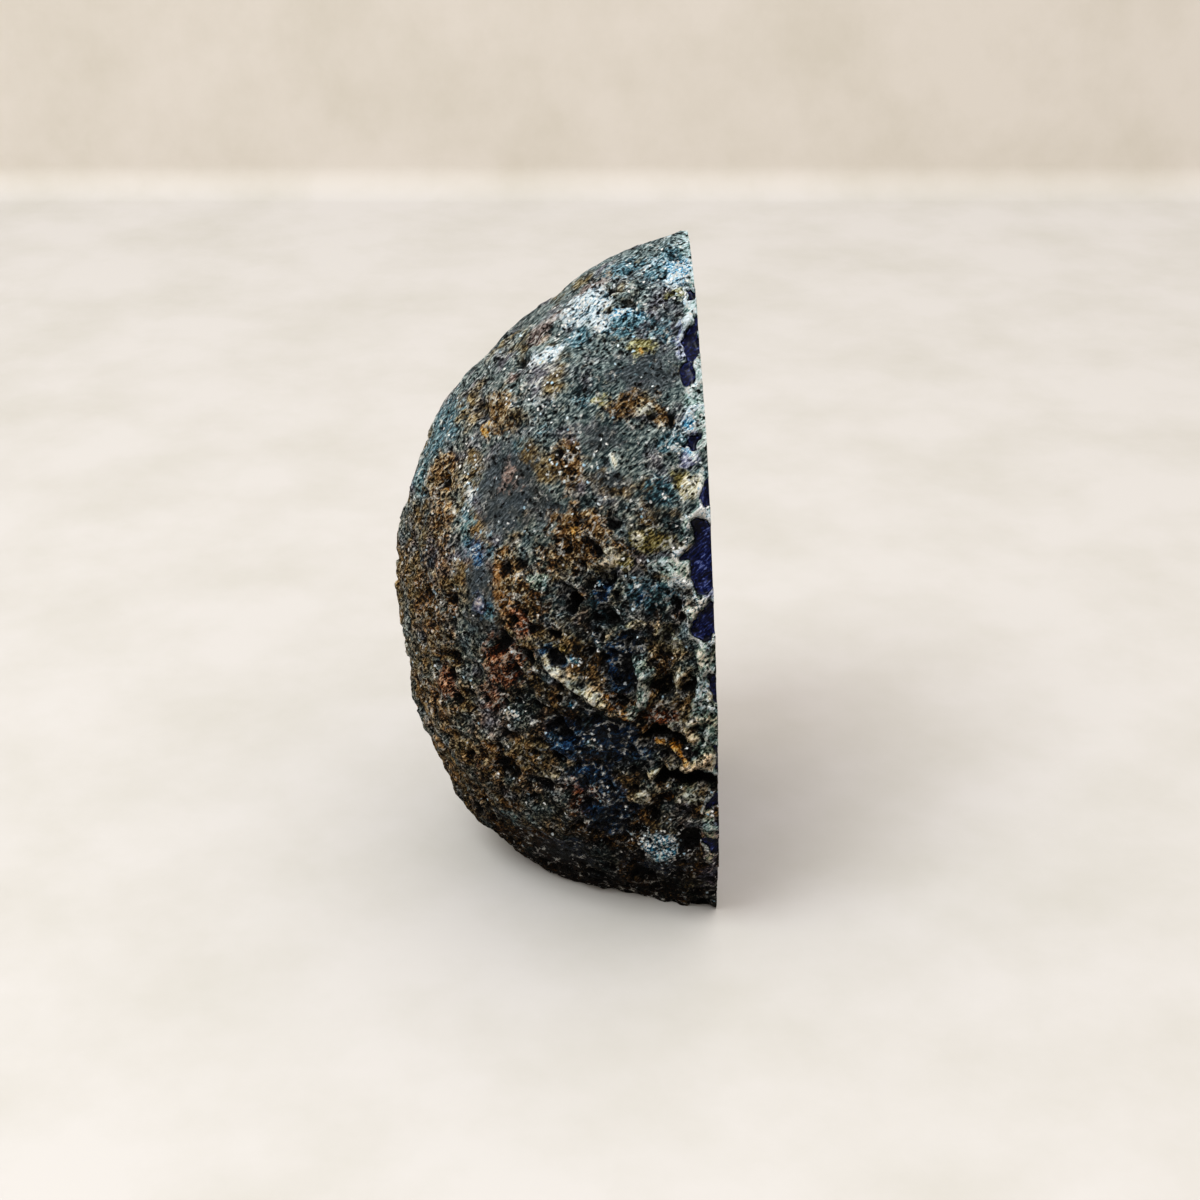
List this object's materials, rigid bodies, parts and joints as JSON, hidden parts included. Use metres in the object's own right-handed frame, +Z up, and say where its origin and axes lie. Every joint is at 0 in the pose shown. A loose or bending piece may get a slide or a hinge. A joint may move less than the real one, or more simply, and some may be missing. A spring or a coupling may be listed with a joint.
{
  "type": "agate geode half",
  "caption": "Standing half of a dark agate nodule: rough pitted rind, a polished banded cut with a quartz-lined hollow, and a flat sawn base.",
  "frame": {"origin": "on the surface that the stone stands on, under the middle of the stone's box", "axes": "+Z up; the polished cut looks towards -Y and leans back 2.5 degrees; +X runs across the cut"},
  "size_m": [0.0856, 0.058, 0.1192],
  "materials": {
    "agate_stone": "rough, pitted greenish-black rind with rust, ochre and pale blue-white patches; the cut is polished indigo banded agate"
  },
  "bodies": {
    "root": {"geode_half": "agate_stone"}
  },
  "joints": []
}
